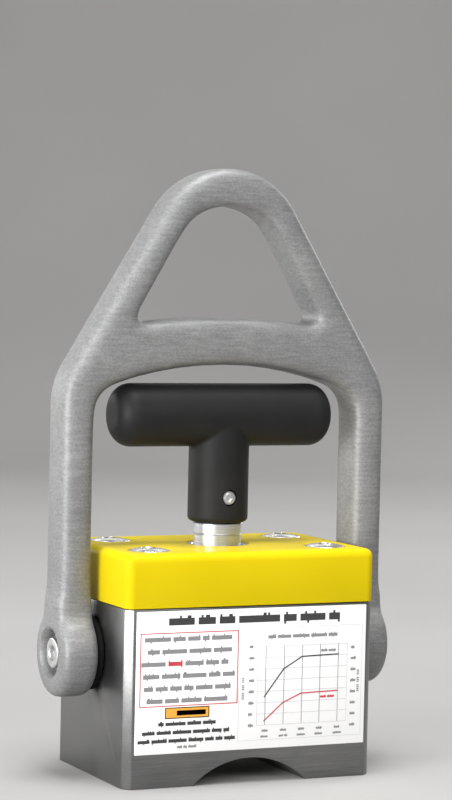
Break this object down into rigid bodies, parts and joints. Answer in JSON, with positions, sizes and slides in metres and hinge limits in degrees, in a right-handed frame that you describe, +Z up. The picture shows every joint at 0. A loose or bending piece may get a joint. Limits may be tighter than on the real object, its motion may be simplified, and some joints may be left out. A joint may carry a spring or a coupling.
{
  "type": "lifting magnet",
  "caption": "Switchable lifting magnet: steel pole block with an arched notch, yellow cap, T-handle that turns the magnet on and off, and a swinging cast bail with a hook eye.",
  "frame": {"origin": "middle of the bottom, between the two pole feet, on the plane the feet rest on", "axes": "+Z up along the handle's axis, X across the front along the bail's pivot axis, -Y the front side with the large label"},
  "size_m": [0.154, 0.0792, 0.2616],
  "materials": {
    "block_steel": "satin ground steel",
    "yellow_paint": "satin yellow paint",
    "bright_steel": "bright turned and plated steel",
    "cast_bail": "fine cast texture, matte grey coating",
    "black_plastic": "matte moulded plastic",
    "bronze": "machined bearing bronze",
    "magnet_nickel": "nickel-plated magnet discs",
    "seal_rubber": "black rubber",
    "label_white": "glossy white printed film"
  },
  "bodies": {
    "housing": {"housing_block": "block_steel", "top_cap": "yellow_paint", "cap_screw_front_left": "bright_steel", "cap_screw_front_right": "bright_steel", "cap_screw_rear_left": "bright_steel", "cap_screw_rear_right": "bright_steel", "fixed_magnet": "magnet_nickel", "magnet_shim": "bronze", "shaft_bush": "bright_steel", "shaft_seal": "seal_rubber", "thrust_washer": "bronze", "stop_pin": "bright_steel", "detent_spring": "bright_steel", "front_label": "label_white", "rear_label": "label_white", "pivot_bolt_left": "bright_steel", "pivot_bolt_right": "bright_steel", "pivot_washer_left": "seal_rubber", "pivot_washer_right": "seal_rubber"},
    "bail": {"bail": "cast_bail", "pivot_bush_left": "bronze", "pivot_bush_right": "bronze"},
    "rotor": {"rotating_magnet": "magnet_nickel", "magnet_carrier": "block_steel", "drive_pin_left": "bright_steel", "drive_pin_right": "bright_steel", "shaft": "bright_steel", "carrier_screw": "bright_steel", "t_handle": "black_plastic", "handle_screw": "bright_steel"},
    "detent": {"detent_plunger": "bright_steel"}
  },
  "joints": [
    {"name": "handle_turn", "type": "hinge", "parent": "housing", "child": "rotor", "pos_m": [0, 0, 0.0988], "axis": [0, 0, 1], "range_deg": [0, 180]},
    {"name": "bail_swing", "type": "hinge", "parent": "housing", "child": "bail", "pos_m": [0, 0, 0.0533], "axis": [1, 0, 0], "range_deg": [-90, 90]},
    {"name": "detent_slide", "type": "slide", "parent": "housing", "child": "detent", "axis": [0, 0, -1], "range_m": [0, 0.001], "deforming": ["detent_spring"]}
  ]
}
